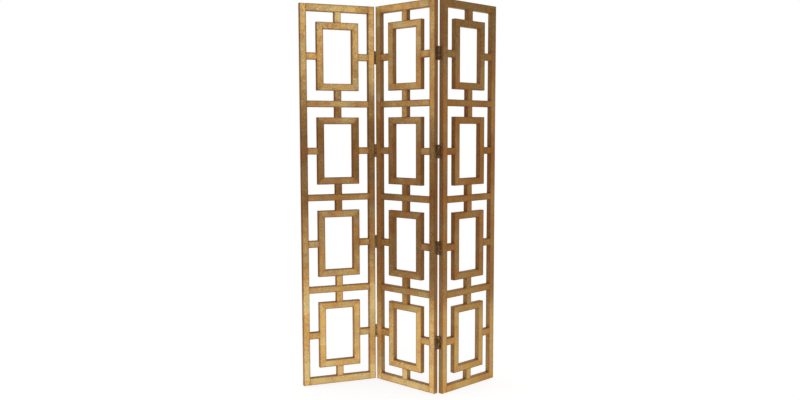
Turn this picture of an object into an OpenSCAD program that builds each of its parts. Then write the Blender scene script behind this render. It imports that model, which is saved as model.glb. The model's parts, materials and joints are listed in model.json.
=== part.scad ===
// Three-panel folding screen: open fretwork of gilded wood bars, hinged in a zigzag.
// Each panel is a tenoned frame of four cells, and in each cell a mitred ring of flat bars
// stands on four short dowelled spacers. All bars are flush on both faces.
// The floor is Z = 0. The centre panel stands along X and its front faces -Y.

/* [Panels] */
// Height of a panel, floor to top
panel_h = 1829; // [1700:1:2100]
// Width of a panel over its two stiles
panel_w = 366; // [330:1:450]
// Thickness of every wood bar, front to back
bar_t = 23.5; // [20:0.5:32]
// Radius that eases the long edges of the bars
arris_r = 0.8; // [0.5:0.1:2.5]

/* [Folds] */
// Turn of the left panel towards the front, from in line with the centre panel
left_fold = 61; // [0:1:180]
// Turn of the right panel towards the back, from in line with the centre panel
right_fold = 84; // [0:1:180]

/* [Frame] */
// Width of a stile
stile_w = 32; // [26:1:45]
// Height of the top rail
top_rail_h = 35; // [28:1:60]
// Height of the bottom rail
bottom_rail_h = 35; // [28:1:60]
// Height of the three cross rails
cross_rail_h = 31; // [28:1:45]

/* [Fretwork] */
// Width of a ring over its two upright bars
ring_w = 206; // [150:1:240]
// Height of a ring over its two level bars
ring_h = 321; // [240:1:350]
// Width of the ring's bars
ring_bar_w = 33; // [28:1:45]
// Width of the spacers that carry a ring
spacer_w = 33; // [20:1:50]

/* [Joinery] */
// Length of a rail's stub tenon
tenon_l = 12; // [6:0.5:16]
// Thickness of a tenon
tenon_t = 9; // [6:0.5:14]
// Shoulder above and below a tenon
tenon_shoulder = 6; // [3:0.5:9]
// Play round a tenon in its mortise
tenon_play = 0.1; // [0.05:0.05:0.3]
// Radius of a dowel
dowel_r = 4; // [3:0.5:6]
// Depth that a dowel goes into each piece
dowel_in = 12; // [8:0.5:13]
// Play round a dowel in its hole
dowel_play = 0.05; // [0.02:0.01:0.2]
// Thickness of the glue line in a mitre
glue_line = 0.08; // [0.05:0.01:0.2]

/* [Hinges] */
// Length of a hinge along its pin
hinge_l = 63.5; // [50:0.5:100]
// Outer radius of the knuckles, which is half the gap between two panels
knuckle_r = 3.6; // [3:0.1:4.5]
// Thickness of a leaf
leaf_t = 2; // [1.6:0.1:2.4]
// Reach of a leaf from the pin's axis to its free edge
leaf_reach = 21; // [17:0.5:24]
// Radius of a hinge pin
pin_r = 1.6; // [1.2:0.1:1.9]
// Running play between a pin and the knuckles
pin_play = 0.05; // [0.02:0.01:0.1]
// How far the pin's axis stands outside the panel's face
pin_stand = 0.5; // [0.2:0.1:2]
// Gap between two knuckles along the pin
knuckle_play = 0.2; // [0.1:0.05:0.5]
// Room left in a leaf round the other leaf's knuckles
knuckle_room = 0.3; // [0.2:0.05:0.6]

/* [Screws] */
// Length of a screw
screw_l = 12.5; // [9:0.5:14]
// Radius of a screw's shank
screw_r = 1.7; // [1.3:0.1:2]
// Radius of a screw's countersunk head
head_r = 3.2; // [2.8:0.1:3.6]
// Distance between neighbouring screws along a leaf
screw_pitch = 22; // [16:0.5:24]
// Distance from the pin's axis to the outer screws
screw_out = 14; // [12:0.5:16]
// How much closer to the pin the middle screw sits
screw_stagger = 3.5; // [0:0.5:4]
// Play round a screw in the wood and in the leaf
screw_play = 0.05; // [0.02:0.01:0.2]

/* [Hidden] */
$fn = 48;
cells = 4;
knuckles = 5;
slot_w = 0.9;
slot_depth = 0.7;
screw_point_l = 3.5;
screw_point_r = 0.5;
pin_end_r = 0.4;
cut = 1; // how far a cutter runs past the face that it cuts

gold = [0.80, 0.63, 0.36];
beech = [0.78, 0.62, 0.44];
bronze = [0.27, 0.22, 0.17];
brass = [0.45, 0.36, 0.22];

fold_gap = 2 * knuckle_r;
open_w = panel_w - 2 * stile_w;
cell_h = (panel_h - bottom_rail_h - top_rail_h - (cells - 1) * cross_rail_h) / cells;
side_spacer_l = (open_w - ring_w) / 2;
end_spacer_l = (cell_h - ring_h) / 2;
knuckle_l = hinge_l / knuckles;
// A fold's axis, from the middle of the panel beside it
pin_x = (panel_w + fold_gap) / 2;
pin_y = bar_t / 2 + pin_stand;

panels = ["left", "centre", "right"];
rails = ["bottom_rail", "lower_rail", "middle_rail", "upper_rail", "top_rail"];
groups = ["spacers", "dowels", "screws"];
folds = ["left_hinge_", "right_hinge_"];
leaves = ["_centre_leaf", "_side_leaf"];

// The stile on side -1 or 1 of a panel. A side panel's inner stile is the one on its fold.
function stile_name(p, side) =
    p == "centre" ? str(p, side < 0 ? "_left" : "_right", "_stile")
    : str(p, (p == "left") == (side > 0) ? "_inner" : "_outer", "_stile");

// Rail 0 is the bottom rail and rail 4 the top rail. Cell 1 stands on the bottom rail.
function rail_h(j) = j == 0 ? bottom_rail_h : j == cells ? top_rail_h : cross_rail_h;
function rail_under(j) = j == 0 ? 0 : bottom_rail_h + j * cell_h + (j - 1) * cross_rail_h;
function rail_z(j) = rail_under(j) + rail_h(j) / 2;
function cell_z(i) = rail_under(i) - cell_h / 2;

// The edges of a panel that carry hinges: side -1 or 1, and face -1 where the pin is at the front
function hinged_edges(p) = p == "left" ? [[1, -1]] : p == "centre" ? [[-1, -1], [1, 1]] : [[-1, 1]];

// Puts what is drawn round the middle of a panel where that panel stands
module on_panel(p) {
    if (p == "left") {
        translate([-pin_x, -pin_y, 0]) rotate(left_fold) translate([-pin_x, pin_y, 0]) children();
    } else if (p == "right") {
        translate([pin_x, pin_y, 0]) rotate(right_fold) translate([pin_x, -pin_y, 0]) children();
    } else {
        children();
    }
}

// A square bar of the panel's thickness with eased long edges, level and along X
module bar(length, width) {
    rotate([90, 0, 90]) linear_extrude(length, center = true) {
        square([bar_t, width - 2 * arris_r], center = true);
        square([bar_t - 2 * arris_r, width], center = true);
        for (y = [-1, 1]) {
            for (z = [-1, 1]) {
                translate([y * (bar_t / 2 - arris_r), z * (width / 2 - arris_r)]) circle(arris_r);
            }
        }
    }
}

module upright_bar(length, width) {
    rotate([0, 90, 0]) bar(length, width);
}

// The joints of one cell that hold a dowel: ring to spacer and spacer to frame, on four sides
module at_cell_joints(i) {
    translate([0, 0, cell_z(i)]) {
        for (side = [-1, 1]) {
            for (x = [ring_w / 2, open_w / 2]) {
                translate([side * x, 0, 0]) rotate([0, 90, 0]) children();
            }
            for (z = [ring_h / 2, cell_h / 2]) {
                translate([0, 0, side * z]) children();
            }
        }
    }
}

module dowel_holes(i) {
    at_cell_joints(i) cylinder(r = dowel_r + dowel_play, h = 2 * (dowel_in + dowel_play), center = true);
}

module dowels() {
    color(beech) for (i = [1:cells]) {
        at_cell_joints(i) cylinder(r = dowel_r, h = 2 * dowel_in, center = true);
    }
}

module tenon(j, play = 0) {
    cube([open_w + 2 * (tenon_l + play), tenon_t + 2 * play, rail_h(j) - 2 * (tenon_shoulder - play)],
        center = true);
}

module rail(j) {
    color(gold) difference() {
        translate([0, 0, rail_z(j)]) {
            bar(open_w, rail_h(j));
            tenon(j);
        }
        if (j > 0) {
            dowel_holes(j);
        }
        if (j < cells) {
            dowel_holes(j + 1);
        }
    }
}

// A stile on side -1 or 1 of its panel, with its mortises, dowel holes and pilot holes
module stile(p, side) {
    color(gold) difference() {
        translate([side * (panel_w - stile_w) / 2, 0, panel_h / 2]) upright_bar(panel_h, stile_w);
        for (j = [0:cells]) {
            translate([0, 0, rail_z(j)]) tenon(j, tenon_play);
        }
        for (i = [1:cells]) {
            dowel_holes(i);
        }
        for (edge = hinged_edges(p)) {
            if (edge[0] == side) {
                at_leaves(edge) at_screws() pilot_hole();
            }
        }
    }
}

// One bar of a ring, level, with its long edge upwards and both ends mitred
module mitred_bar(length) {
    setback = glue_line / sqrt(2);
    outer = length / 2 - setback;
    inner = outer - ring_bar_w;
    intersection() {
        bar(length, ring_bar_w);
        rotate([90, 0, 0]) linear_extrude(bar_t + 2 * cut, center = true) {
            polygon([
                [-outer, ring_bar_w / 2],
                [outer, ring_bar_w / 2],
                [inner, -ring_bar_w / 2],
                [-inner, -ring_bar_w / 2]
            ]);
        }
    }
}

module ring(i) {
    color(gold) difference() {
        translate([0, 0, cell_z(i)]) {
            for (turn = [0, 180]) {
                rotate([0, turn, 0]) translate([0, 0, (ring_h - ring_bar_w) / 2]) mitred_bar(ring_w);
                rotate([0, turn + 90, 0]) translate([0, 0, (ring_w - ring_bar_w) / 2]) mitred_bar(ring_h);
            }
        }
        dowel_holes(i);
    }
}

module spacers() {
    color(gold) for (i = [1:cells]) {
        difference() {
            translate([0, 0, cell_z(i)]) {
                for (side = [-1, 1]) {
                    translate([side * (ring_w + side_spacer_l) / 2, 0, 0]) bar(side_spacer_l, spacer_w);
                    translate([0, 0, side * (ring_h + end_spacer_l) / 2]) upright_bar(end_spacer_l, spacer_w);
                }
            }
            dowel_holes(i);
        }
    }
}

// Puts a hinge's half at each cell's middle on one edge of a panel. There the pin's axis is Z,
// the stile lies towards +X and the wood's other face towards +Y.
module at_leaves(edge) {
    for (i = [1:cells]) {
        at_leaf(edge, i) children();
    }
}

module at_leaf(edge, i) {
    translate([edge[0] * pin_x, edge[1] * pin_y, cell_z(i)])
        mirror([edge[0] > 0 ? 1 : 0, 0, 0])
            mirror([0, edge[1] > 0 ? 1 : 0, 0])
                children();
}

// The three screws of a leaf. There the screw's head is at the origin and it drives towards +Z.
module at_screws() {
    for (k = [-1:1]) {
        translate([knuckle_r - leaf_t, screw_out - (k == 0 ? screw_stagger : 0), k * screw_pitch])
            rotate([0, 90, 0])
                children();
    }
}

// One knuckle's length of the hinge, counted from its lower end, grown by some play at each end
module knuckle(k, r, play = 0) {
    translate([0, 0, (k + 0.5) * knuckle_l - hinge_l / 2]) cylinder(r = r, h = knuckle_l + 2 * play, center = true);
}

// A leaf whose knuckles are the first, third and fifth, or the second and fourth
module hinge_leaf(first) {
    color(bronze) difference() {
        union() {
            translate([knuckle_r - leaf_t, 0, -hinge_l / 2]) cube([leaf_t, leaf_reach, hinge_l]);
            for (k = [first:2:knuckles - 1]) {
                knuckle(k, knuckle_r);
            }
        }
        for (k = [1 - first:2:knuckles - 1]) {
            knuckle(k, knuckle_r + knuckle_room, knuckle_play / 2);
        }
        cylinder(r = pin_r + pin_play, h = hinge_l + 2 * cut, center = true);
        at_screws() screw_seat();
    }
}

module hinge_pin() {
    rotate_extrude() polygon([
        [0, -hinge_l / 2],
        [pin_r - pin_end_r, -hinge_l / 2],
        [pin_r, pin_end_r - hinge_l / 2],
        [pin_r, hinge_l / 2 - pin_end_r],
        [pin_r - pin_end_r, hinge_l / 2],
        [0, hinge_l / 2]
    ]);
}

module hinge_pins() {
    color(brass) for (edge = hinged_edges("centre")) {
        at_leaves(edge) hinge_pin();
    }
}

// The countersunk hole that a screw passes through in a leaf
module screw_seat() {
    shank = screw_r + screw_play;
    head = head_r + screw_play;
    rotate_extrude() polygon([
        [0, -cut],
        [head, -cut],
        [head, 0],
        [shank, head - shank],
        [shank, leaf_t + cut],
        [0, leaf_t + cut]
    ]);
}

module pilot_hole() {
    translate([0, 0, leaf_t - cut]) cylinder(r = screw_r + screw_play, h = screw_l + screw_play - leaf_t + cut);
}

module screw() {
    difference() {
        rotate_extrude() polygon([
            [0, 0],
            [head_r, 0],
            [screw_r, head_r - screw_r],
            [screw_r, screw_l - screw_point_l],
            [screw_point_r, screw_l],
            [0, screw_l]
        ]);
        cube([2 * head_r + cut, slot_w, 2 * slot_depth], center = true);
    }
}

module screws(p) {
    color(brass) for (edge = hinged_edges(p)) {
        at_leaves(edge) at_screws() screw();
    }
}

for (p = panels) {
    for (side = [-1, 1]) {
        on_panel(p) stile(p, side);
    }
    for (j = [0:cells]) {
        on_panel(p) rail(j);
    }
    for (i = [1:cells]) {
        on_panel(p) ring(i);
    }
    on_panel(p) spacers();
    on_panel(p) dowels();
    on_panel(p) screws(p);
}
for (i = [1:cells]) {
    on_panel("left") at_leaf(hinged_edges("left")[0], i) hinge_leaf(1);
    at_leaf(hinged_edges("centre")[0], i) hinge_leaf(0);
    at_leaf(hinged_edges("centre")[1], i) hinge_leaf(0);
    on_panel("right") at_leaf(hinged_edges("right")[0], i) hinge_leaf(1);
}
hinge_pins();
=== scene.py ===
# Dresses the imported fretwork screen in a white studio: gilded bars, aged bronze hinges and their screws.
import json
import math

import bmesh
import bpy
from mathutils import Matrix, Vector


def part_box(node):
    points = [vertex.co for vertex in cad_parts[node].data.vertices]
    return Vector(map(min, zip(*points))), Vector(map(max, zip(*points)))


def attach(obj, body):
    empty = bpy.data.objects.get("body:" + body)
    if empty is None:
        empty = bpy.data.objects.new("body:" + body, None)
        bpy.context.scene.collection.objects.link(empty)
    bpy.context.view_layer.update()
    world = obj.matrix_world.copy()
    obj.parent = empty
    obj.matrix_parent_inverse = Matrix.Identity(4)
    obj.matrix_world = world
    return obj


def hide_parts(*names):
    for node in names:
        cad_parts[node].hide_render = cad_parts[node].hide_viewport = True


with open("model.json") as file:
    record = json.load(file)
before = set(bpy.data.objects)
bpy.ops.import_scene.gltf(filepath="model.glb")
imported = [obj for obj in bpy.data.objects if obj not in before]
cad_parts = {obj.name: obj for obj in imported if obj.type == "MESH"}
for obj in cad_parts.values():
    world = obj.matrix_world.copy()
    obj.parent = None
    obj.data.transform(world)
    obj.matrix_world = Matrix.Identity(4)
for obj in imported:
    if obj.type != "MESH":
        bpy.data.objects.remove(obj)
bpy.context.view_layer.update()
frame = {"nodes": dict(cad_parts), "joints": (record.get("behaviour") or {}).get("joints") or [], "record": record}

mm = 0.001
room = bpy.context.scene
room.view_settings.view_transform = "Standard"

nodeGrid = {
    # how the nodes of a tree are laid out for reading it in the editor
    "columns": 14,
    "wide": 200,
    "high": 240,
}


def srgb(code):
    # sRGB hex, such as "#D8B06A", to the linear colour that a shader takes
    parts = [int(code[i:i + 2], 16) / 255 for i in (1, 3, 5)]
    return [c / 12.92 if c <= 0.04045 else ((c + 0.055) / 1.055) ** 2.4 for c in parts] + [1.0]


def feed(tree, socket, value):
    # What goes into a socket: a plain value, another socket, or a node, which gives its first output
    if isinstance(value, bpy.types.Node):
        value = next(s for s in value.outputs if s.enabled)
    if isinstance(value, bpy.types.NodeSocket):
        tree.links.new(value, socket)
    else:
        socket.default_value = value


def addNode(tree, kind, settings=None, inputs=None):
    # Adds a node with its settings, and feeds the inputs that are named or numbered
    node = tree.nodes.new(kind)
    row, column = divmod(len(tree.nodes), nodeGrid["columns"])
    node.location = (nodeGrid["wide"] * column, -nodeGrid["high"] * row)
    for name, value in (settings or {}).items():
        setattr(node, name, value)
    for key, value in (inputs or {}).items():
        if isinstance(key, int):
            socket = node.inputs[key]
        else:
            socket = next(s for s in node.inputs if s.name == key and s.enabled)
        feed(tree, socket, value)
    return node


def startTree(name, inputs):
    # A Geometry Nodes tree with named inputs, given as kind of socket: names
    tree = bpy.data.node_groups.new(name, "GeometryNodeTree")
    tree.interface.new_socket(name="Geometry", in_out="OUTPUT", socket_type="NodeSocketGeometry")
    for kind, labels in inputs.items():
        for label in labels:
            tree.interface.new_socket(name=label, in_out="INPUT", socket_type="NodeSocket" + kind)
    return tree


def startMaterial(name):
    # A material with an empty tree
    material = bpy.data.materials.new(name)
    material.use_nodes = True
    material.node_tree.nodes.clear()
    return material, material.node_tree


def putInRoom(name, data):
    body = bpy.data.objects.new(name, data)
    room.collection.objects.link(body)
    return body


def runTree(tree, mesh, values, name):
    # Runs a tree on a mesh and gives back the result as a plain mesh object, with the modifier gone
    source = putInRoom("source", mesh)
    modifier = source.modifiers.new(tree.name, "NODES")
    modifier.node_group = tree
    for item in tree.interface.items_tree:
        if item.item_type == "SOCKET" and item.in_out == "INPUT" and item.name in values:
            modifier[item.identifier] = values[item.name]
    depsgraph = bpy.context.evaluated_depsgraph_get()
    depsgraph.update()
    result = bpy.data.meshes.new_from_object(
        source.evaluated_get(depsgraph), preserve_all_data_layers=True, depsgraph=depsgraph)
    bpy.data.objects.remove(source)
    result.name = name
    return putInRoom(name, result)


def shade(mesh, sharpAngle):
    # Smooth all over, but for the edges that turn by more than so many degrees
    mesh.shade_smooth()
    mesh.set_sharp_from_angle(angle=math.radians(sharpAngle))


# The camera
camera = {
    "place": (2.4164, -2.7996, 1.2259),
    "yaw": 41.252,  # degrees to the left of the centre panel's depth
    "pitch": 4.955,  # degrees downwards
    "roll": -0.114,
    "lens": 35.041,  # mm
    "sensor": 36,  # mm
}

# The studio's own directions start in the middle of the screen: X to the camera's right, Y away from it
studioTurn = Matrix.Rotation(math.radians(camera["yaw"]), 4, "Z")


def makeCamera():
    data = bpy.data.cameras.new("camera")
    data.sensor_width = camera["sensor"]
    data.lens = camera["lens"]
    body = putInRoom("camera", data)
    tilt = Matrix.Rotation(math.radians(90 - camera["pitch"]), 4, "X")
    roll = Matrix.Rotation(math.radians(camera["roll"]), 4, "Z")
    body.matrix_world = Matrix.Translation(camera["place"]) @ studioTurn @ tilt @ roll
    room.camera = body


makeCamera()
print("camera: ready")

# The studio
white = (1, 1, 1, 1)

studio = {
    "worldLight": 0.62,  # what the white surround gives as diffuse light
    "paper": 0.40,  # how much light the paper sends back, which sets how deep the screen's shadow is
    "paperGlow": 0.76,  # lifts the paper under the screen to plain white
    "glowFrom": 0.9,  # radius in metres at which the paper starts to merge with the background
    "glowTo": 2.6,
    "paperReach": 14.0,  # metres from its middle to its sides
}

softboxes = {
    # middle, the point it faces, width and height in metres, and brightness, where 1 is white
    "softboxLeft": ((-3.0, -0.5, 2.15), (0, 0, 1.3), (1.7, 1.7), 0.88),
    "softboxRight": ((1.5, -2.4, 2.15), (-0.3, 0, 1.3), (1.5, 1.2), 1.28),
}

# Cloths and boards round the white paper, pale or dark, that only reflections see. The two pale brown
# sheets on the paper by the right panel are painted shadow: the screen's own shadow on the paper.
flags = {
    # two opposite corners, and a colour
    "floorLeft": ((-6.0, -5.0, 0.003), (-1.75, 4.0, 0.003), "#2E2015"),
    # painted shadow: these two sheets put the screen's shadow on the paper into the right panel's reflections
    "paintedShadowNear": ((0.15, -0.8, 0.003), (2.1, 0.0, 0.003), "#D6C6AE"),
    "paintedShadowBack": ((0.3, 0.0, 0.003), (2.1, 1.6, 0.003), "#C6B090"),
    "floorRight": ((2.1, -5.0, 0.003), (6.0, 4.0, 0.003), "#6E573F"),
    "wallLeft": ((-4.6, -5.0, 0.0), (-4.6, 4.0, 4.2), "#40260F"),
    "wallRight": ((4.6, -5.0, 0.0), (4.6, 0.5, 1.9), "#7A6040"),
    "wallRightBack": ((4.6, 0.5, 0.0), (4.6, 4.0, 1.9), "#B49474"),
    "wallRightTop": ((4.6, -5.0, 1.9), (4.6, 4.0, 4.2), "#2C1B0E"),
    "wallBack": ((-4.6, 4.0, 0.0), (-1.5, 4.0, 1.75), "#7F6644"),
    "wallFront": ((-4.6, -5.0, 0.12), (4.6, -5.0, 4.2), "#3B2A14"),
    "ceiling": ((-4.6, -5.0, 4.2), (4.6, 4.0, 4.2), "#3B2A14"),
}


def makeWorld():
    # White to the eye and in reflections, and dimmer as a light
    world = bpy.data.worlds.new("whiteStudio")
    room.world = world
    world.use_nodes = True
    tree = world.node_tree
    tree.nodes.clear()
    path = addNode(tree, "ShaderNodeLightPath")
    seen = addNode(tree, "ShaderNodeMath", {"operation": "MAXIMUM"}, {
        0: path.outputs["Is Camera Ray"], 1: path.outputs["Is Glossy Ray"]})
    seen = addNode(tree, "ShaderNodeMath", {"operation": "MAXIMUM"}, {
        0: seen, 1: path.outputs["Is Transmission Ray"]})
    strength = addNode(tree, "ShaderNodeMix", {"data_type": "FLOAT"}, {
        "Factor": seen, "A": studio["worldLight"], "B": 1.0})
    light = addNode(tree, "ShaderNodeBackground", {}, {"Color": white, "Strength": strength})
    addNode(tree, "ShaderNodeOutputWorld", {}, {"Surface": light})


def makePaper():
    # A wide sheet of white paper. Away from the screen it glows like the white behind it, so that no
    # edge shows.
    mesh = bpy.data.meshes.new("paper")
    r = studio["paperReach"]
    mesh.from_pydata([(-r, -r, 0), (r, -r, 0), (r, r, 0), (-r, r, 0)], [], [(0, 1, 2, 3)])
    paper = putInRoom("paper", mesh)
    material, tree = startMaterial("matt white paper")
    place = addNode(tree, "ShaderNodeTexCoord").outputs["Object"]
    away = addNode(tree, "ShaderNodeVectorMath", {"operation": "LENGTH"}, {0: place}).outputs["Value"]
    fade = addNode(tree, "ShaderNodeMapRange", {"interpolation_type": "SMOOTHSTEP"}, {
        "Value": away, "From Min": studio["glowFrom"], "From Max": studio["glowTo"]})
    matt = addNode(tree, "ShaderNodeBsdfDiffuse", {}, {"Color": (*[studio["paper"]] * 3, 1)})
    lift = addNode(tree, "ShaderNodeEmission", {}, {"Color": white, "Strength": studio["paperGlow"]})
    near = addNode(tree, "ShaderNodeAddShader", {}, {0: matt, 1: lift})
    path = addNode(tree, "ShaderNodeLightPath")
    far = addNode(tree, "ShaderNodeMix", {"data_type": "FLOAT"}, {
        "Factor": path.outputs["Is Diffuse Ray"], "A": 1.0, "B": studio["worldLight"]})
    far = addNode(tree, "ShaderNodeEmission", {}, {"Color": white, "Strength": far})
    both = addNode(tree, "ShaderNodeMixShader", {}, {0: fade, 1: near, 2: far})
    addNode(tree, "ShaderNodeOutputMaterial", {}, {"Surface": both})
    mesh.materials.append(material)


def makeSoftboxes():
    for name, (place, aim, size, brightness) in softboxes.items():
        light = bpy.data.lights.new(name, "AREA")
        light.shape = "RECTANGLE"
        light.size, light.size_y = size
        light.energy = brightness * math.pi * size[0] * size[1]  # the watts that give this brightness
        body = putInRoom(name, light)
        look = Vector(aim) - Vector(place)
        facing = look.to_track_quat("-Z", "Y").to_matrix().to_4x4()
        body.matrix_world = studioTurn @ Matrix.Translation(place) @ facing
        body.visible_camera = False


def makeFlags():
    for name, (low, high, colour) in flags.items():
        if low[2] == high[2]:
            corners = [(low[0], low[1]), (high[0], low[1]), (high[0], high[1]), (low[0], high[1])]
            points = [(x, y, low[2]) for x, y in corners]
        else:
            points = [(*low[:2], low[2]), (*high[:2], low[2]), (*high[:2], high[2]), (*low[:2], high[2])]
        mesh = bpy.data.meshes.new(name)
        mesh.from_pydata(points, [], [(0, 1, 2, 3)])
        mesh.transform(studioTurn)
        flag = putInRoom(name, mesh)
        # Each flag glows in its own colour. The pale brown sheets on the paper by the right panel are painted
        # shadow.
        flagMaterial, tree = startMaterial("studio cloth and painted shadow")
        glow = addNode(tree, "ShaderNodeEmission", {}, {"Color": srgb(colour), "Strength": 1.0})
        addNode(tree, "ShaderNodeOutputMaterial", {}, {"Surface": glow})
        mesh.materials.append(flagMaterial)
        flag.visible_camera = False
        flag.visible_diffuse = False
        flag.visible_shadow = False


makeWorld()
makePaper()
makeSoftboxes()
makeFlags()
print("studio: world, paper, %d softboxes, %d flags" % (len(softboxes), len(flags)))

# The gilded fretwork
panels = ("left", "centre", "right")

fretwork = {
    "Ring Bar": 33 * mm,  # width of a ring's bars
    "Spacer": 33 * mm,  # width of the spacers
    "Arris": 0.8 * mm,  # radius of the eased long edges
    "Arris Steps": 3,
    "Glue Line": 0.08 * mm,  # gap in a ring's mitres
    "Cells": 4,
    "Step": 9 * mm,  # length of the mesh's faces along a bar
    "Ripple": 0.12 * mm,  # how far the gesso wanders from flat
    "Waves": 11.0,  # of that ripple in a metre
    "Seed": 7,
    "sharpAngle": 12,
}

gilding = {
    "leaf": "#F1DE96",  # gold leaf where it is whole
    "warmLeaf": "#F2C974",  # leaf that has gone warmer
    "clay": "#AE5018",  # ochre clay that shows where brush and cloth rubbed the leaf through
    "redClay": "#983C0E",
    "glaze": "#6E3410",  # brown glaze, wiped off the faces and left on the sides
    "dirt": "#542A10",  # what hands and dust have left

    # How many of each pattern fit in a metre
    "clouds": 6.0,  # 170 mm
    "patches": 17.0,  # 60 mm
    "mottles": 34.0,  # 30 mm
    "specks": 1400.0,  # 0.7 mm
    "brushLines": 1700.0,  # 0.6 mm wide
    "brushStretch": 0.07,  # a brush line's width over its length
    "patchStretch": 0.6,  # a patch's width over its length
    "ownStart": (7.3, 3.1, 5.7),  # how far apart in the patterns two bars can be, in metres

    "leafSize": 82 * mm,
    "leafTear": 22 * mm,  # how far a leaf's torn edge wanders, from its least to its most
    "leafLap": 0.07,  # share of a leaf that lies on the one before

    # Share of the leaf that is rubbed through, away from hands, and what is added to it elsewhere
    "wear": 0.16,
    "handWear": 0.15,
    "patchy": 0.2,
    "arrisWear": 0.30,
    "jointWear": 0.10,
    "leafWear": 0.10,
    "lapWear": -0.12,
    "arrisFrom": 0.4 * mm,  # distance from an edge up to which an arris is fully rubbed
    "arrisTo": 6.0 * mm,  # and from which on it is not
    "jointReach": 16 * mm,
    # How much hands have touched the screen, after each share of its height
    "hands": ((0.18, 0.0), (0.40, 0.8), (0.62, 1.0), (0.80, 0.45), (1.0, 0.28)),
    "patchRange": (0.32, 0.68),  # of the patches' own levels, between least and most wear
    "speckShare": 0.3,  # of the specks in the grain that breaks the leaf, the rest being brush lines
    "mottleShare": 0.1,  # of the mottle in that grain
    "grain": 5.0,  # how much the grain counts beside the wear
    "rubRange": (2.45, 3.35),  # grain and wear together, where the leaf is whole and where it is gone
    "bareRange": (0.12, 0.90),  # how much clay shows in either place

    "cloudShare": 0.76,  # of the clouds in how warm the leaf is, the rest being its own tone
    "warmRange": (0.3, 0.7),  # of that mix, from the leaf's colour to the warm leaf's
    "handDirt": 0.24,  # how thick the dirt lies in the patches at hand height
    "arrisDirt": 0.4,  # and along the arrises
    "dirtShare": 0.5,  # of the clouds in where the dirt lies, the rest being the patches
    "dirtRange": (0.42, 0.60),  # of that mix, from clean to dirty
    "glazeLeast": 0.45,  # how thick the glaze is on the sides
    "glazeStreaks": 0.4,  # how much more in the brush lines
    "glazeFeet": 0.78,  # share of it that is on the feet
    "glazeHands": 0.20,  # and how much more at hand height
    "sideRange": (-0.6 * mm, 1.2 * mm),  # where a face ends and a side begins, across the arris

    "metal": 1.04,  # how metallic the whole leaf is
    "sideMetal": -0.5,  # and what the glaze takes from that
    "roughLeast": 0.19,
    "roughMottle": 0.10,  # more in the mottle, where clay shows and on the sides
    "roughClay": 0.14,
    "roughSide": 0.23,
    "brushed": 0.82,  # how far the brush lines draw a highlight out across the bar
    "acrossBar": 0.25,  # a quarter turn from the map's direction
    "swell": 1.5 * mm,  # how far the hand-laid gesso swells and sinks under the leaf
    "relief": 0.02 * mm,  # height of the leaf's torn edges and laps
    "reliefStrength": 0.3,
    "lapRelief": 0.35,
    "streakRelief": 0.6,
}


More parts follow.
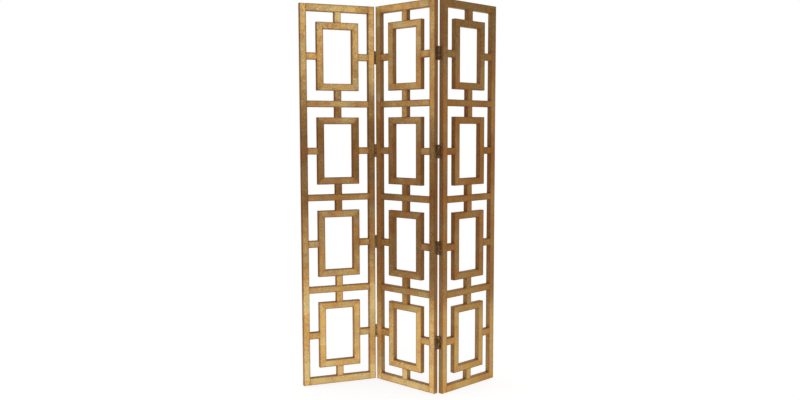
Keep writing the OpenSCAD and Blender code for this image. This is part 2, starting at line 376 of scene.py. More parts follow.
def giltWood(height):
    # Oil-gilded wood: squares of leaf laid over gesso and red clay, and rubbed through along the bars, more
    # at hand height and on the arrises. Dirt lies along the arrises and in patches at hand height, and
    # brown glaze lies on the sides. The fine brush lines draw highlights out across each bar, so level bars
    # pick up light from above and below that upright bars don't, and the gesso under them swells a little.
    # It gives the eye a warm broken satin metal that changes tone from patch to patch.
    material, tree = startMaterial("gold leaf over red bole")

    # Where a point is: in its bar, as the tree that makes the bars noted it, and in the whole screen
    along = addNode(tree, "ShaderNodeAttribute", {"attribute_name": "barCo"}).outputs["Vector"]
    half = addNode(tree, "ShaderNodeAttribute", {"attribute_name": "barHalf"}).outputs["Vector"]
    seed = addNode(tree, "ShaderNodeAttribute", {"attribute_name": "barSeed"}).outputs["Fac"]
    mitre = addNode(tree, "ShaderNodeAttribute", {"attribute_name": "barMitre"}).outputs["Fac"]
    spot = addNode(tree, "ShaderNodeTexCoord").outputs["Object"]

    # Distance to the bar's end, face and edge
    size = addNode(tree, "ShaderNodeVectorMath", {"operation": "ABSOLUTE"}, {0: along})
    gap = addNode(tree, "ShaderNodeVectorMath", {"operation": "SUBTRACT"}, {0: half, 1: size})
    gap = addNode(tree, "ShaderNodeSeparateXYZ", {}, {0: gap}).outputs
    edge = addNode(tree, "ShaderNodeMath", {"operation": "MAXIMUM"}, {0: gap["Y"], 1: gap["Z"]})
    lean = addNode(tree, "ShaderNodeMath", {"operation": "SUBTRACT"}, {0: gap["Y"], 1: gap["Z"]})
    side = addNode(tree, "ShaderNodeMapRange", {"interpolation_type": "SMOOTHSTEP"}, {
        "Value": lean, "From Min": gilding["sideRange"][0], "From Max": gilding["sideRange"][1]})
    topCo = addNode(tree, "ShaderNodeSeparateXYZ", {}, {0: along}).outputs
    halfCo = addNode(tree, "ShaderNodeSeparateXYZ", {}, {0: half}).outputs
    inset = addNode(tree, "ShaderNodeMath", {"operation": "SUBTRACT"}, {0: halfCo["Z"], 1: topCo["Z"]})
    inset = addNode(tree, "ShaderNodeMath", {"operation": "MULTIPLY"}, {0: inset, 1: mitre})
    end = addNode(tree, "ShaderNodeMath", {"operation": "SUBTRACT"}, {0: gap["X"], 1: inset})
    joint = addNode(tree, "ShaderNodeMapRange", {"interpolation_type": "SMOOTHSTEP"}, {
        "Value": end, "From Min": 0.0, "From Max": gilding["jointReach"], "To Min": 1.0, "To Max": 0.0})
    rubbed = addNode(tree, "ShaderNodeMapRange", {"interpolation_type": "SMOOTHSTEP"}, {
        "Value": edge, "From Min": gilding["arrisFrom"], "From Max": gilding["arrisTo"],
        "To Min": 1.0, "To Max": 0.0})

    # The patterns. Each bar starts somewhere else in them, but the clouds run on from bar to bar.
    shift = addNode(tree, "ShaderNodeVectorMath", {"operation": "SCALE"}, {
        0: gilding["ownStart"], "Scale": seed})
    place = addNode(tree, "ShaderNodeVectorMath", {"operation": "ADD"}, {0: along, 1: shift})
    cloud = addNode(tree, "ShaderNodeTexNoise", {}, {
        "Vector": spot, "Scale": gilding["clouds"], "Detail": 3.0})
    drift = addNode(tree, "ShaderNodeVectorMath", {"operation": "MULTIPLY"}, {
        0: place, 1: (gilding["patchStretch"], 1.0, 1.0)})
    patch = addNode(tree, "ShaderNodeTexNoise", {}, {
        "Vector": drift, "Scale": gilding["patches"], "Detail": 3.0, "Roughness": 0.6})
    mottle = addNode(tree, "ShaderNodeTexNoise", {}, {
        "Vector": place, "Scale": gilding["mottles"], "Detail": 4.0, "Roughness": 0.6})
    speck = addNode(tree, "ShaderNodeTexNoise", {}, {
        "Vector": place, "Scale": gilding["specks"], "Detail": 3.0})
    drawn = addNode(tree, "ShaderNodeVectorMath", {"operation": "MULTIPLY"}, {
        0: place, 1: (gilding["brushStretch"], 1.0, 1.0)})
    streak = addNode(tree, "ShaderNodeTexNoise", {}, {
        "Vector": drawn, "Scale": gilding["brushLines"], "Detail": 3.0})

    # Leaf by leaf
    placeX = addNode(tree, "ShaderNodeSeparateXYZ", {}, {0: place}).outputs["X"]
    torn = addNode(tree, "ShaderNodeMath", {"operation": "MULTIPLY_ADD"}, {
        0: mottle, 1: gilding["leafTear"], 2: placeX})
    count = addNode(tree, "ShaderNodeMath", {"operation": "DIVIDE"}, {0: torn, 1: gilding["leafSize"]})
    number = addNode(tree, "ShaderNodeMath", {"operation": "FLOOR"}, {0: count})
    part = addNode(tree, "ShaderNodeMath", {"operation": "FRACT"}, {0: count})
    key = addNode(tree, "ShaderNodeCombineXYZ", {}, {"X": number, "Y": seed})
    leafTone = addNode(tree, "ShaderNodeTexWhiteNoise", {"noise_dimensions": "3D"}, {"Vector": key})
    lap = addNode(tree, "ShaderNodeMapRange", {"interpolation_type": "SMOOTHSTEP"}, {
        "Value": part, "From Min": 0.0, "From Max": gilding["leafLap"], "To Min": 1.0, "To Max": 0.0})

    # Wear: none from hands on the feet, most where they fold the screen, and less towards the top
    level = addNode(tree, "ShaderNodeSeparateXYZ", {}, {0: spot}).outputs["Z"]
    level = addNode(tree, "ShaderNodeMath", {"operation": "DIVIDE"}, {0: level, 1: height})
    hands = addNode(tree, "ShaderNodeValToRGB", {}, {"Fac": level})
    ramp = hands.color_ramp
    ramp.interpolation = "EASE"
    for index, (at, much) in enumerate(gilding["hands"]):
        stop = ramp.elements[index] if index < 2 else ramp.elements.new(at)
        stop.position = at
        stop.color = (much, much, much, 1)
    uneven = addNode(tree, "ShaderNodeMapRange", {}, {
        "Value": patch, "From Min": gilding["patchRange"][0], "From Max": gilding["patchRange"][1]})
    wear = gilding["wear"] - gilding["patchy"] / 2
    for mask, more in (
            (hands, "handWear"), (uneven, "patchy"), (rubbed, "arrisWear"), (joint, "jointWear"),
            (leafTone, "leafWear"), (lap, "lapWear")):
        wear = addNode(tree, "ShaderNodeMath", {"operation": "MULTIPLY_ADD"}, {
            0: mask, 1: gilding[more], 2: wear})
    grain = addNode(tree, "ShaderNodeMix", {"data_type": "FLOAT"}, {
        "Factor": gilding["speckShare"], "A": streak, "B": speck})
    grain = addNode(tree, "ShaderNodeMix", {"data_type": "FLOAT"}, {
        "Factor": gilding["mottleShare"], "A": grain, "B": mottle})
    through = addNode(tree, "ShaderNodeMath", {"operation": "MULTIPLY_ADD"}, {
        0: grain, 1: gilding["grain"], 2: wear})
    bare = addNode(tree, "ShaderNodeMapRange", {"interpolation_type": "SMOOTHSTEP"}, {
        "Value": through, "From Min": gilding["rubRange"][0], "From Max": gilding["rubRange"][1],
        "To Min": gilding["bareRange"][0], "To Max": gilding["bareRange"][1]})

    # Leaf and clay
    warm = addNode(tree, "ShaderNodeMix", {"data_type": "FLOAT"}, {
        "Factor": gilding["cloudShare"], "A": leafTone, "B": cloud})
    warm = addNode(tree, "ShaderNodeMapRange", {"interpolation_type": "SMOOTHSTEP"}, {
        "Value": warm, "From Min": gilding["warmRange"][0], "From Max": gilding["warmRange"][1]})
    leaf = addNode(tree, "ShaderNodeMix", {"data_type": "RGBA"}, {
        "Factor": warm, "A": srgb(gilding["leaf"]), "B": srgb(gilding["warmLeaf"])})
    clay = addNode(tree, "ShaderNodeMix", {"data_type": "RGBA"}, {
        "Factor": uneven, "A": srgb(gilding["clay"]), "B": srgb(gilding["redClay"])})
    colour = addNode(tree, "ShaderNodeMix", {"data_type": "RGBA"}, {"Factor": bare, "A": leaf, "B": clay})

    # Dirt on the faces
    blot = addNode(tree, "ShaderNodeMix", {"data_type": "FLOAT"}, {
        "Factor": gilding["dirtShare"], "A": patch, "B": cloud})
    blot = addNode(tree, "ShaderNodeMapRange", {"interpolation_type": "SMOOTHSTEP"}, {
        "Value": blot, "From Min": gilding["dirtRange"][0], "From Max": gilding["dirtRange"][1]})
    dirt = addNode(tree, "ShaderNodeMath", {"operation": "MULTIPLY"}, {0: hands, 1: blot})
    dirt = addNode(tree, "ShaderNodeMath", {"operation": "MULTIPLY"}, {0: dirt, 1: gilding["handDirt"]})
    dirt = addNode(tree, "ShaderNodeMath", {"operation": "MULTIPLY_ADD", "use_clamp": True}, {
        0: rubbed, 1: gilding["arrisDirt"], 2: dirt})
    facing = addNode(tree, "ShaderNodeMath", {"operation": "SUBTRACT"}, {0: 1.0, 1: side})
    dirt = addNode(tree, "ShaderNodeMath", {"operation": "MULTIPLY"}, {0: dirt, 1: facing})
    colour = addNode(tree, "ShaderNodeMix", {"data_type": "RGBA"}, {
        "Factor": dirt, "A": colour, "B": srgb(gilding["dirt"])})

    # Glaze on the sides
    glaze = addNode(tree, "ShaderNodeMath", {"operation": "MULTIPLY_ADD"}, {
        0: streak, 1: gilding["glazeStreaks"], 2: gilding["glazeLeast"]})
    thick = addNode(tree, "ShaderNodeMath", {"operation": "MULTIPLY_ADD"}, {
        0: hands, 1: gilding["glazeHands"], 2: gilding["glazeFeet"]})
    glaze = addNode(tree, "ShaderNodeMath", {"operation": "MULTIPLY"}, {0: glaze, 1: thick})
    glaze = addNode(tree, "ShaderNodeMath", {"operation": "MULTIPLY", "use_clamp": True}, {
        0: glaze, 1: side})
    colour = addNode(tree, "ShaderNodeMix", {"data_type": "RGBA"}, {
        "Factor": glaze, "A": colour, "B": srgb(gilding["glaze"])})

    # How metallic and how rough it is
    whole = addNode(tree, "ShaderNodeMath", {"operation": "SUBTRACT"}, {0: 1.0, 1: bare})
    metal = addNode(tree, "ShaderNodeMath", {"operation": "MULTIPLY"}, {0: whole, 1: gilding["metal"]})
    dull = addNode(tree, "ShaderNodeMath", {"operation": "MULTIPLY_ADD"}, {
        0: side, 1: gilding["sideMetal"], 2: 1.0})
    metal = addNode(tree, "ShaderNodeMath", {"operation": "MULTIPLY"}, {0: metal, 1: dull})
    rough = gilding["roughLeast"]
    for mask, more in ((mottle, "roughMottle"), (bare, "roughClay"), (side, "roughSide")):
        rough = addNode(tree, "ShaderNodeMath", {"operation": "MULTIPLY_ADD"}, {
            0: mask, 1: gilding[more], 2: rough})

    # The leaf's own thickness, on gesso that swells
    relief = whole
    for mask, more in ((lap, "lapRelief"), (streak, "streakRelief")):
        relief = addNode(tree, "ShaderNodeMath", {"operation": "MULTIPLY_ADD"}, {
            0: mask, 1: gilding[more], 2: relief})
    swell = addNode(tree, "ShaderNodeBump", {}, {"Distance": gilding["swell"], "Height": patch})
    bump = addNode(tree, "ShaderNodeBump", {}, {
        "Strength": gilding["reliefStrength"], "Distance": gilding["relief"], "Height": relief,
        "Normal": swell})
    lines = addNode(tree, "ShaderNodeTangent", {"direction_type": "UV_MAP", "uv_map": "barMap"})
    shader = addNode(tree, "ShaderNodeBsdfPrincipled", {}, {
        "Base Color": colour, "Metallic": metal, "Roughness": rough, "Normal": bump,
        "Anisotropic": gilding["brushed"], "Anisotropic Rotation": gilding["acrossBar"],
        "Tangent": lines})
    addNode(tree, "ShaderNodeOutputMaterial", {}, {"Surface": shader})
    return material


def easedBar():
    # One bar along X, its width along Z, with eased long edges. Mitre 1 cuts both ends at 45 degrees.
    tree = startTree("easedBar", {
        "Float": ("Length", "Width", "Thickness", "Arris", "Step", "Mitre"), "Int": ("Arris Steps",)})
    given = addNode(tree, "NodeGroupInput").outputs
    count = addNode(tree, "ShaderNodeMath", {"operation": "DIVIDE"}, {0: given["Length"], 1: given["Step"]})
    count = addNode(tree, "ShaderNodeMath", {"operation": "ADD"}, {0: count, 1: 2.0})
    line = addNode(tree, "GeometryNodeCurvePrimitiveLine", {}, {"Start": (-0.5, 0, 0), "End": (0.5, 0, 0)})
    line = addNode(tree, "GeometryNodeResampleCurve", {}, {"Curve": line, "Count": count})
    section = addNode(tree, "GeometryNodeCurvePrimitiveQuadrilateral", {}, {
        "Width": given["Thickness"], "Height": given["Width"]})
    section = addNode(tree, "GeometryNodeFilletCurve", {"mode": "POLY"}, {
        "Curve": section, "Count": given["Arris Steps"], "Radius": given["Arris"]})
    solid = addNode(tree, "GeometryNodeCurveToMesh", {}, {
        "Curve": line, "Profile Curve": section, "Fill Caps": True})

    # The line is one metre long, and is drawn out here to the bar's length, or to less where a mitre cuts
    here = addNode(tree, "GeometryNodeInputPosition")
    part = addNode(tree, "ShaderNodeSeparateXYZ", {}, {0: here}).outputs
    inset = addNode(tree, "ShaderNodeMath", {"operation": "MULTIPLY"}, {0: given["Width"], 1: 0.5})
    inset = addNode(tree, "ShaderNodeMath", {"operation": "SUBTRACT"}, {0: inset, 1: part["Z"]})
    inset = addNode(tree, "ShaderNodeMath", {"operation": "MULTIPLY"}, {0: inset, 1: given["Mitre"]})
    length = addNode(tree, "ShaderNodeMath", {"operation": "MULTIPLY_ADD"}, {
        0: inset, 1: -2.0, 2: given["Length"]})
    x = addNode(tree, "ShaderNodeMath", {"operation": "MULTIPLY"}, {0: part["X"], 1: length})
    place = addNode(tree, "ShaderNodeCombineXYZ", {}, {"X": x, "Y": part["Y"], "Z": part["Z"]})
    solid = addNode(tree, "GeometryNodeSetPosition", {}, {"Geometry": solid, "Position": place})

    # What the finish reads: places in the bar, half its size, and a map with its U along the bar, which
    # tells where the brush lines run
    size = addNode(tree, "ShaderNodeCombineXYZ", {}, {
        "X": given["Length"], "Y": given["Thickness"], "Z": given["Width"]})
    half = addNode(tree, "ShaderNodeVectorMath", {"operation": "SCALE"}, {0: size, "Scale": 0.5})
    across = addNode(tree, "ShaderNodeMath", {"operation": "ADD"}, {0: part["Y"], 1: part["Z"]})
    barMap = addNode(tree, "ShaderNodeCombineXYZ", {}, {"X": part["X"], "Y": across})
    for name, kind, domain, value in (
            ("barCo", "FLOAT_VECTOR", "POINT", here), ("barHalf", "FLOAT_VECTOR", "POINT", half),
            ("barMitre", "FLOAT", "POINT", given["Mitre"]), ("barMap", "FLOAT2", "CORNER", barMap)):
        solid = addNode(tree, "GeometryNodeStoreNamedAttribute", {"data_type": kind, "domain": domain}, {
            "Geometry": solid, "Name": name, "Value": value})
    addNode(tree, "NodeGroupOutput", {}, {0: solid})
    return tree


def fretworkPanel(barTree):
    # A whole panel round its own middle: frame, cross rails, and a ring on four spacers in each cell
    tree = startTree("fretworkPanel", {
        "Float": (
            "Height", "Panel Width", "Thickness", "Stile", "Top Rail", "Bottom Rail", "Cross Rail",
            "Ring Width", "Ring Height", "Ring Bar", "Spacer", "Arris", "Glue Line", "Step", "Ripple",
            "Waves"),
        "Int": ("Arris Steps", "Cells", "Seed"),
        "Material": ("Finish",)})
    given = addNode(tree, "NodeGroupInput").outputs

    # Sizes that follow from the inputs, each from two that are already known
    known = {socket.name: socket for socket in given}
    for name, operation, a, b in (
            ("stiles", "MULTIPLY", "Stile", 2.0),
            ("open", "SUBTRACT", "Panel Width", "stiles"),
            ("endRails", "ADD", "Top Rail", "Bottom Rail"),
            ("clear", "SUBTRACT", "Height", "endRails"),
            ("clearAndRail", "ADD", "clear", "Cross Rail"),
            ("pitch", "DIVIDE", "clearAndRail", "Cells"),
            ("cell", "SUBTRACT", "pitch", "Cross Rail"),
            ("halfCell", "MULTIPLY", "cell", 0.5),
            ("firstCell", "ADD", "halfCell", "Bottom Rail"),
            ("halfPitch", "MULTIPLY", "pitch", 0.5),
            ("firstCross", "ADD", "firstCell", "halfPitch"),
            ("crossRails", "SUBTRACT", "Cells", 1.0),
            ("sideRoom", "SUBTRACT", "open", "Ring Width"),
            ("sideSpacer", "MULTIPLY", "sideRoom", 0.5),
            ("endRoom", "SUBTRACT", "cell", "Ring Height"),
            ("endSpacer", "MULTIPLY", "endRoom", 0.5),
            ("stileSpan", "SUBTRACT", "Panel Width", "Stile"),
            ("stileX", "MULTIPLY", "stileSpan", 0.5),
            ("middleZ", "MULTIPLY", "Height", 0.5),
            ("bottomZ", "MULTIPLY", "Bottom Rail", 0.5),
            ("halfTop", "MULTIPLY", "Top Rail", 0.5),
            ("topZ", "SUBTRACT", "Height", "halfTop"),
            ("setBack", "MULTIPLY", "Glue Line", 2 ** 0.5),
            ("ringLevel", "SUBTRACT", "Ring Width", "setBack"),
            ("ringUpright", "SUBTRACT", "Ring Height", "setBack"),
            ("ringSpanX", "SUBTRACT", "Ring Width", "Ring Bar"),
            ("ringX", "MULTIPLY", "ringSpanX", 0.5),
            ("ringSpanZ", "SUBTRACT", "Ring Height", "Ring Bar"),
            ("ringZ", "MULTIPLY", "ringSpanZ", 0.5),
            ("spacerSpanX", "ADD", "Ring Width", "sideSpacer"),
            ("spacerX", "MULTIPLY", "spacerSpanX", 0.5),
            ("spacerSpanZ", "ADD", "Ring Height", "endSpacer"),
            ("spacerZ", "MULTIPLY", "spacerSpanZ", 0.5)):
        known[name] = addNode(tree, "ShaderNodeMath", {"operation": operation}, {
            0: known.get(a, a), 1: known.get(b, b)})

    # The kinds of bar: length, width, mitred or not, upright or level, and where it stands
    bars = {}
    for name, length, width, mitred, upright, x, z in (
            ("stile", "Height", "Stile", 0.0, True, "stileX", "middleZ"),
            ("bottomRail", "open", "Bottom Rail", 0.0, False, None, "bottomZ"),
            ("topRail", "open", "Top Rail", 0.0, False, None, "topZ"),
            ("crossRail", "open", "Cross Rail", 0.0, False, None, None),
            ("ringLevelBar", "ringLevel", "Ring Bar", 1.0, False, None, "ringZ"),
            ("ringUprightBar", "ringUpright", "Ring Bar", 1.0, True, "ringX", None),
            ("sideSpacerBar", "sideSpacer", "Spacer", 0.0, False, "spacerX", None),
            ("endSpacerBar", "endSpacer", "Spacer", 0.0, True, None, "spacerZ")):
        bar = addNode(tree, "GeometryNodeGroup", {"node_tree": barTree, "label": name}, {
            "Length": known[length], "Width": known[width], "Mitre": mitred,
            **{same: known[same] for same in ("Thickness", "Arris", "Arris Steps", "Step")}})
        spot = addNode(tree, "ShaderNodeCombineXYZ", {}, {
            key: known[value] for key, value in (("X", x), ("Z", z)) if value})
        bars[name] = addNode(tree, "GeometryNodeTransform", {}, {
            "Geometry": bar, "Translation": spot, "Rotation": (0, math.pi / 2 if upright else 0, 0)})

    # A ring's other half is the first one turned round, and so is the other stile
    kit = addNode(tree, "GeometryNodeJoinGeometry")
    for name in ("endSpacerBar", "sideSpacerBar", "ringUprightBar", "ringLevelBar"):
        tree.links.new(bars[name].outputs[0], kit.inputs[0])
    turned = addNode(tree, "GeometryNodeTransform", {}, {"Geometry": kit, "Rotation": (0, math.pi, 0)})
    wholeKit = addNode(tree, "GeometryNodeJoinGeometry", {}, {0: turned})
    tree.links.new(kit.outputs[0], wholeKit.inputs[0])
    otherStile = addNode(tree, "GeometryNodeTransform", {}, {
        "Geometry": bars["stile"], "Rotation": (0, 0, math.pi)})

    # Cells and cross rails repeat up the panel
    step = addNode(tree, "ShaderNodeCombineXYZ", {}, {"Z": known["pitch"]})
    panel = addNode(tree, "GeometryNodeJoinGeometry", {}, {0: otherStile})
    for part, number, first in (
            (wholeKit, "Cells", "firstCell"), (bars["crossRail"], "crossRails", "firstCross")):
        start = addNode(tree, "ShaderNodeCombineXYZ", {}, {"Z": known[first]})
        line = addNode(tree, "GeometryNodeMeshLine", {}, {
            "Count": known[number], "Start Location": start, "Offset": step})
        copies = addNode(tree, "GeometryNodeInstanceOnPoints", {}, {"Points": line, "Instance": part})
        tree.links.new(copies.outputs[0], panel.inputs[0])
    for name in ("stile", "bottomRail", "topRail"):
        tree.links.new(bars[name].outputs[0], panel.inputs[0])
    plain = addNode(tree, "GeometryNodeRealizeInstances", {}, {0: panel})

    # Each bar gets its own number, and its gesso wanders a little from flat
    island = addNode(tree, "GeometryNodeInputMeshIsland").outputs["Island Index"]
    number = addNode(tree, "FunctionNodeRandomValue", {"data_type": "FLOAT"}, {
        "Min": 0.0, "Max": 1.0, "ID": island, "Seed": known["Seed"]})
    plain = addNode(tree, "GeometryNodeStoreNamedAttribute", {"data_type": "FLOAT"}, {
        "Geometry": plain, "Name": "barSeed", "Value": number})
    ripple = addNode(tree, "ShaderNodeTexNoise", {}, {"Scale": known["Waves"], "Detail": 2.0})
    ripple = addNode(tree, "ShaderNodeMath", {"operation": "SUBTRACT"}, {0: ripple, 1: 0.5})
    ripple = addNode(tree, "ShaderNodeMath", {"operation": "MULTIPLY"}, {0: ripple, 1: known["Ripple"]})
    offset = addNode(tree, "ShaderNodeVectorMath", {"operation": "SCALE"}, {
        0: addNode(tree, "GeometryNodeInputNormal"), "Scale": ripple})
    plain = addNode(tree, "GeometryNodeSetPosition", {}, {"Geometry": plain, "Offset": offset})
    plain = addNode(tree, "GeometryNodeRealizeInstances", {}, {0: plain})
    done = addNode(tree, "GeometryNodeSetMaterial", {}, {"Geometry": plain, "Material": known["Finish"]})
    addNode(tree, "NodeGroupOutput", {}, {0: done})
    return tree


def measure(node):
    low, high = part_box(node)
    return high - low


def panelPlace(name):
    # Where a panel stands at rest, from its fold's axis and the turn that lays it flat
    for joint in frame["joints"]:
        if joint["child"] == name + "_panel":
            pin = Vector(joint["pos_m"])
            turn = Matrix.Rotation(math.radians(-joint["range_deg"][0]), 4, "Z")
            return Matrix.Translation(pin) @ turn @ Matrix.Translation((pin.x, -pin.y, 0))
    return Matrix.Identity(4)


def makeFretwork():
    stile = measure("centre_left_stile")
    left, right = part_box("centre_left_stile")[0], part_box("centre_right_stile")[1]
    ring = measure("centre_ring_1")
    values = dict(fretwork)
    values.update({
        "Height": stile.z, "Panel Width": right.x - left.x, "Thickness": stile.y, "Stile": stile.x,
        "Top Rail": measure("centre_top_rail").z, "Bottom Rail": measure("centre_bottom_rail").z,
        "Cross Rail": measure("centre_middle_rail").z, "Ring Width": ring.x, "Ring Height": ring.z,
        "Finish": giltWood(stile.z)})
    tree = fretworkPanel(easedBar())
    for number, name in enumerate(panels):
        values["Seed"] = fretwork["Seed"] + number
        panel = runTree(tree, bpy.data.meshes.new("source"), values, name + "_fretwork")
        panel.data.transform(panelPlace(name))
        shade(panel.data, fretwork["sharpAngle"])
        stiles = ("left_stile", "right_stile") if name == "centre" else ("inner_stile", "outer_stile")
        replaced = list(stiles) + ["spacers"] + ["ring_%d" % i for i in range(1, fretwork["Cells"] + 1)]
        replaced += [level + "_rail" for level in ("bottom", "lower", "middle", "upper", "top")]
        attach(panel, name + "_panel")
        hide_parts(*[name + "_" + part for part in replaced])
        print("%s: %d faces" % (panel.name, len(panel.data.polygons)))


makeFretwork()

# The hinges
hinges = {
    "softEdge": 0.3 * mm,  # how round the leaves' edges are
    "softFrom": 60,  # degrees by which an edge turns, from which it is softened
    "shortest": 2 * mm,  # length of an edge, from which it is softened
    "flatAngle": 1.5,  # degrees up to which the solids' loose triangles are merged into one face
    "sharpAngle": 28,
    "bronze": "#6A4F31",  # the dark brown that the years have left
    "rubbedBronze": "#CDB183",  # where hands and cloths have rubbed it bright
    "rust": "#7E4A22",  # reddish dirt in the low places
    "mottles": 170.0,  # in a metre, so 6 mm
    "dust": 900.0,  # in a metre, so 1 mm
    "rubbedRange": (0.46, 0.60),  # of the mottle's levels, from dark to bright
    "rustRange": (0.46, 0.36),  # and from clean to rusty
    "metal": 0.6,
    "rubbedMetal": 0.35,  # more where it is rubbed
    "rough": 0.28,
    "dustRough": 0.25,  # more where dust lies
    "pits": 0.05 * mm,
    "pitStrength": 0.4,
}

screws = {
    "Length": 12.5 * mm,
    "Head": 3.2 * mm,  # radius of the countersunk head
    "Rim": 0.15 * mm,  # height of the head's rim
    "Shank": 1.7 * mm,
    "Point": 3.5 * mm,  # length of the point
    "Tip": 0.4 * mm,  # its radius at the end
    "Slot": 0.9 * mm,
    "Slot Depth": 0.7 * mm,
    "Sides": 20,
    "Seed": 3,
    "sharpAngle": 30,
}

screwPlaces = {
    "sink": 1.6 * mm,  # from the pin's axis to the leaf's outer face
    "out": 14.0 * mm,  # from the pin's axis to the outer screws
    "stagger": 3.5 * mm,  # by which the middle one is nearer to the pin
    "pitch": 22.0 * mm,
    "rows": (-1, 0, 1),
}

foldEdges = {
    # the edges of a panel that carry hinges: which side of the panel, and -1 where the pin is at the front
    "left": ((1, -1),),
    "centre": ((-1, -1), (1, 1)),
    "right": ((-1, 1),),
}

brass = {
    "clean": "#8A7142",
    "dirty": "#3E3018",
    "dirt": 420.0,  # in a metre, so 2.4 mm
    "metal": 0.9,
    "rough": 0.22,
    "dirtRough": 0.3,  # more where dirt sits
}

beech = {
    "wood": "#DDB98A",
    "fleck": "#B98D5E",
    "flecks": 700.0,  # in a metre, so 1.4 mm
    "rough": 0.6,
}


def agedBronze():
    # Rolled brass gone dark brown, as old bronzed hinges are, rubbed bright in spots, with reddish dirt in
    # the low places. It gives the eye a dark mottled strip with dull broken highlights.
    material, tree = startMaterial("dark aged bronze")
    spot = addNode(tree, "ShaderNodeTexCoord").outputs["Object"]
    patch = addNode(tree, "ShaderNodeTexNoise", {}, {
        "Vector": spot, "Scale": hinges["mottles"], "Detail": 4.0, "Roughness": 0.65})
    dust = addNode(tree, "ShaderNodeTexNoise", {}, {
        "Vector": spot, "Scale": hinges["dust"], "Detail": 2.0})
    masks = {}
    for name in ("rubbedRange", "rustRange"):
        masks[name] = addNode(tree, "ShaderNodeMapRange", {"interpolation_type": "SMOOTHSTEP"}, {
            "Value": patch, "From Min": hinges[name][0], "From Max": hinges[name][1]})
    colour = srgb(hinges["bronze"])
    for name, other in (("rubbedRange", "rubbedBronze"), ("rustRange", "rust")):
        colour = addNode(tree, "ShaderNodeMix", {"data_type": "RGBA"}, {
            "Factor": masks[name], "A": colour, "B": srgb(hinges[other])})
    metal = addNode(tree, "ShaderNodeMath", {"operation": "MULTIPLY_ADD"}, {
        0: masks["rubbedRange"], 1: hinges["rubbedMetal"], 2: hinges["metal"]})
    rough = addNode(tree, "ShaderNodeMath", {"operation": "MULTIPLY_ADD"}, {
        0: dust, 1: hinges["dustRough"], 2: hinges["rough"]})
    bump = addNode(tree, "ShaderNodeBump", {}, {
        "Strength": hinges["pitStrength"], "Distance": hinges["pits"], "Height": dust})
    shader = addNode(tree, "ShaderNodeBsdfPrincipled", {}, {
        "Base Color": colour, "Metallic": metal, "Roughness": rough, "Normal": bump})
    addNode(tree, "ShaderNodeOutputMaterial", {}, {"Surface": shader})
    return material


def dullBrass():
    # Turned brass screws, dulled with the years. They give the eye brownish yellow specks, darker where
    # dirt sits.
    material, tree = startMaterial("dull turned brass")
    spot = addNode(tree, "ShaderNodeTexCoord").outputs["Object"]
    dirt = addNode(tree, "ShaderNodeTexNoise", {}, {"Vector": spot, "Scale": brass["dirt"], "Detail": 3.0})
    colour = addNode(tree, "ShaderNodeMix", {"data_type": "RGBA"}, {
        "Factor": dirt, "A": srgb(brass["clean"]), "B": srgb(brass["dirty"])})
    rough = addNode(tree, "ShaderNodeMath", {"operation": "MULTIPLY_ADD"}, {
        0: dirt, 1: brass["dirtRough"], 2: brass["rough"]})
    shader = addNode(tree, "ShaderNodeBsdfPrincipled", {}, {
        "Base Color": colour, "Metallic": brass["metal"], "Roughness": rough})
    addNode(tree, "ShaderNodeOutputMaterial", {}, {"Surface": shader})
    return material


def bareBeech():
    # Turned beech dowels, unfinished, inside the joints: pale pinkish wood with short brown flecks
    material, tree = startMaterial("bare turned beech")
    spot = addNode(tree, "ShaderNodeTexCoord").outputs["Object"]
    fleck = addNode(tree, "ShaderNodeTexNoise", {}, {
        "Vector": spot, "Scale": beech["flecks"], "Detail": 3.0})
    colour = addNode(tree, "ShaderNodeMix", {"data_type": "RGBA"}, {
        "Factor": fleck, "A": srgb(beech["wood"]), "B": srgb(beech["fleck"])})
    shader = addNode(tree, "ShaderNodeBsdfPrincipled", {}, {
        "Base Color": colour, "Roughness": beech["rough"]})
    addNode(tree, "ShaderNodeOutputMaterial", {}, {"Surface": shader})
    return material


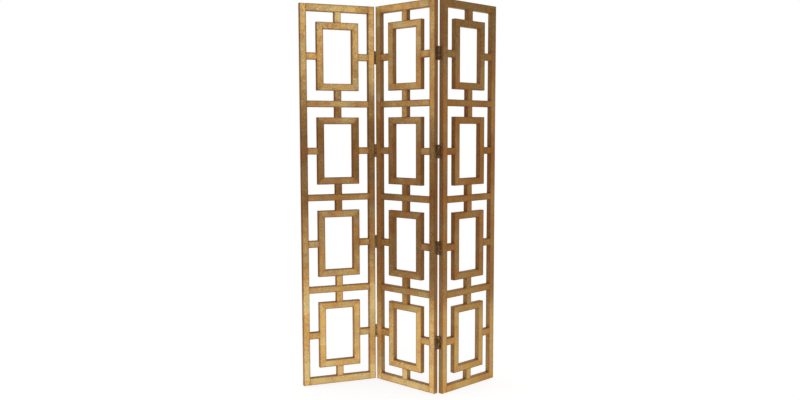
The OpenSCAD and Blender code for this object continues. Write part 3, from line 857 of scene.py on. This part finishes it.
def leafScrew():
    # A slotted countersunk screw that drives along Z, set on each point along the point's drive direction
    tree = startTree("leafScrew", {
        "Geometry": ("Geometry",),
        "Float": ("Length", "Head", "Rim", "Shank", "Point", "Tip", "Slot", "Slot Depth"),
        "Int": ("Sides", "Seed"),
        "Material": ("Finish",)})
    given = addNode(tree, "NodeGroupInput").outputs

    # The screw's outline, as heights along it and radii there
    neck = addNode(tree, "ShaderNodeMath", {"operation": "SUBTRACT"}, {0: given["Head"], 1: given["Shank"]})
    pointAt = addNode(tree, "ShaderNodeMath", {"operation": "SUBTRACT"}, {
        0: given["Length"], 1: given["Point"]})
    top = addNode(tree, "ShaderNodeMath", {"operation": "SUBTRACT"}, {0: given["Head"], 1: given["Rim"]})
    heights = (0.0, given["Rim"], neck, pointAt, given["Length"])
    radii = (top, given["Head"], given["Shank"], given["Shank"], given["Tip"])
    index = addNode(tree, "GeometryNodeInputIndex")
    outline = []
    for values in (heights, radii):
        switch = addNode(tree, "GeometryNodeIndexSwitch", {"data_type": "FLOAT"}, {0: index})
        while len(switch.index_switch_items) < len(values):
            switch.index_switch_items.new()
        for socket, value in zip(switch.inputs[1:], values):
            feed(tree, socket, value)
        outline.append(switch)
    line = addNode(tree, "GeometryNodeCurvePrimitiveLine", {}, {"Start": (0, 0, 0), "End": (0, 0, 1)})
    line = addNode(tree, "GeometryNodeResampleCurve", {}, {"Curve": line, "Count": len(heights)})
    place = addNode(tree, "ShaderNodeCombineXYZ", {}, {"Z": outline[0]})
    line = addNode(tree, "GeometryNodeSetPosition", {}, {"Geometry": line, "Position": place})
    circle = addNode(tree, "GeometryNodeCurvePrimitiveCircle", {}, {
        "Resolution": given["Sides"], "Radius": 1.0})
    body = addNode(tree, "GeometryNodeCurveToMesh", {}, {
        "Curve": line, "Profile Curve": circle, "Scale": outline[1], "Fill Caps": True})

    # The slot's cutter is longer than the head is wide, and half of it is above the head
    wide = addNode(tree, "ShaderNodeMath", {"operation": "MULTIPLY"}, {0: given["Head"], 1: 3.0})
    deep = addNode(tree, "ShaderNodeMath", {"operation": "MULTIPLY"}, {0: given["Slot Depth"], 1: 2.0})
    size = addNode(tree, "ShaderNodeCombineXYZ", {}, {"X": wide, "Y": given["Slot"], "Z": deep})
    cutter = addNode(tree, "GeometryNodeMeshCube", {}, {"Size": size})
    body = addNode(tree, "GeometryNodeMeshBoolean", {"operation": "DIFFERENCE", "solver": "EXACT"}, {
        "Mesh 1": body, "Mesh 2": cutter})

    # Every screw stops at its own turn
    drive = addNode(tree, "GeometryNodeInputNamedAttribute", {"data_type": "FLOAT_VECTOR"}, {
        "Name": "drive"})
    facing = addNode(tree, "FunctionNodeAlignRotationToVector", {"axis": "Z"}, {"Vector": drive})
    stop = addNode(tree, "FunctionNodeRandomValue", {"data_type": "FLOAT"}, {
        "Min": 0.0, "Max": math.pi, "ID": index, "Seed": given["Seed"]})
    turn = addNode(tree, "FunctionNodeAxisAngleToRotation", {}, {"Axis": (0, 0, 1), "Angle": stop})
    facing = addNode(tree, "FunctionNodeRotateRotation", {"rotation_space": "LOCAL"}, {
        "Rotation": facing, "Rotate By": turn})
    screwSet = addNode(tree, "GeometryNodeInstanceOnPoints", {}, {
        "Points": given["Geometry"], "Instance": body, "Rotation": facing})
    screwSet = addNode(tree, "GeometryNodeRealizeInstances", {}, {0: screwSet})
    done = addNode(tree, "GeometryNodeSetMaterial", {}, {"Geometry": screwSet, "Material": given["Finish"]})
    addNode(tree, "NodeGroupOutput", {}, {0: done})
    return tree


def makeScrews():
    values = dict(screws)
    values["Finish"] = dullBrass()
    tree = leafScrew()
    pin = Vector(next(j["pos_m"] for j in frame["joints"] if j["child"] == "right_panel"))
    leaves = [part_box("right_hinge_%d_centre_leaf" % i) for i in range(1, fretwork["Cells"] + 1)]
    heights = [(low.z + high.z) / 2 for low, high in leaves]
    for number, name in enumerate(panels):
        points = []
        drives = []
        place = panelPlace(name)
        for side, face in foldEdges[name]:
            for height in heights:
                for row in screwPlaces["rows"]:
                    out = screwPlaces["out"] - (screwPlaces["stagger"] if row == 0 else 0.0)
                    spot = Vector((
                        side * (pin.x - screwPlaces["sink"]), face * (pin.y - out),
                        height + row * screwPlaces["pitch"]))
                    points.append(place @ spot)
                    drives.append(place.to_3x3() @ Vector((-side, 0, 0)))
        mesh = bpy.data.meshes.new("screwPoints")
        mesh.from_pydata(points, [], [])
        drive = mesh.attributes.new("drive", "FLOAT_VECTOR", "POINT")
        drive.data.foreach_set("vector", [c for d in drives for c in d])
        values["Seed"] = screws["Seed"] + number
        group = runTree(tree, mesh, values, name + "_leaf_screws")
        shade(group.data, screws["sharpAngle"])
        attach(group, name + "_panel")
        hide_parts(name + "_screws")
    print("screws: %d in each leaf" % len(screwPlaces["rows"]))


def makeHinges():
    bronze = agedBronze()
    for body, members in frame["record"]["behaviour"]["bodies"].items():
        leaves = sorted(name for name in members if name.endswith("_leaf"))
        work = bmesh.new()
        for name in leaves:
            work.from_mesh(frame["nodes"][name].data)
        bmesh.ops.remove_doubles(work, verts=work.verts, dist=0.001 * mm)
        bmesh.ops.dissolve_limit(
            work, angle_limit=math.radians(hinges["flatAngle"]), verts=work.verts, edges=work.edges,
            delimit=set())
        softened = [
            e for e in work.edges
            if e.is_manifold and e.calc_length() > hinges["shortest"]
            and e.calc_face_angle() > math.radians(hinges["softFrom"])]
        bmesh.ops.bevel(
            work, geom=softened, offset=hinges["softEdge"], segments=2, profile=0.5, affect="EDGES")
        mesh = bpy.data.meshes.new(body.replace("_panel", "_hinge_leaves"))
        work.to_mesh(mesh)
        work.free()
        mesh.materials.append(bronze)
        shade(mesh, hinges["sharpAngle"])
        piece = putInRoom(mesh.name, mesh)
        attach(piece, body)
        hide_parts(*leaves)
        print("%s: %d leaves, %d faces" % (piece.name, len(leaves), len(mesh.polygons)))
    frame["nodes"]["hinge_pins"].material_slots[0].material = bronze


def makeDowels():
    finish = bareBeech()
    for name in panels:
        frame["nodes"][name + "_dowels"].material_slots[0].material = finish
    print("dowels: beech")


makeHinges()
makeScrews()
makeDowels()
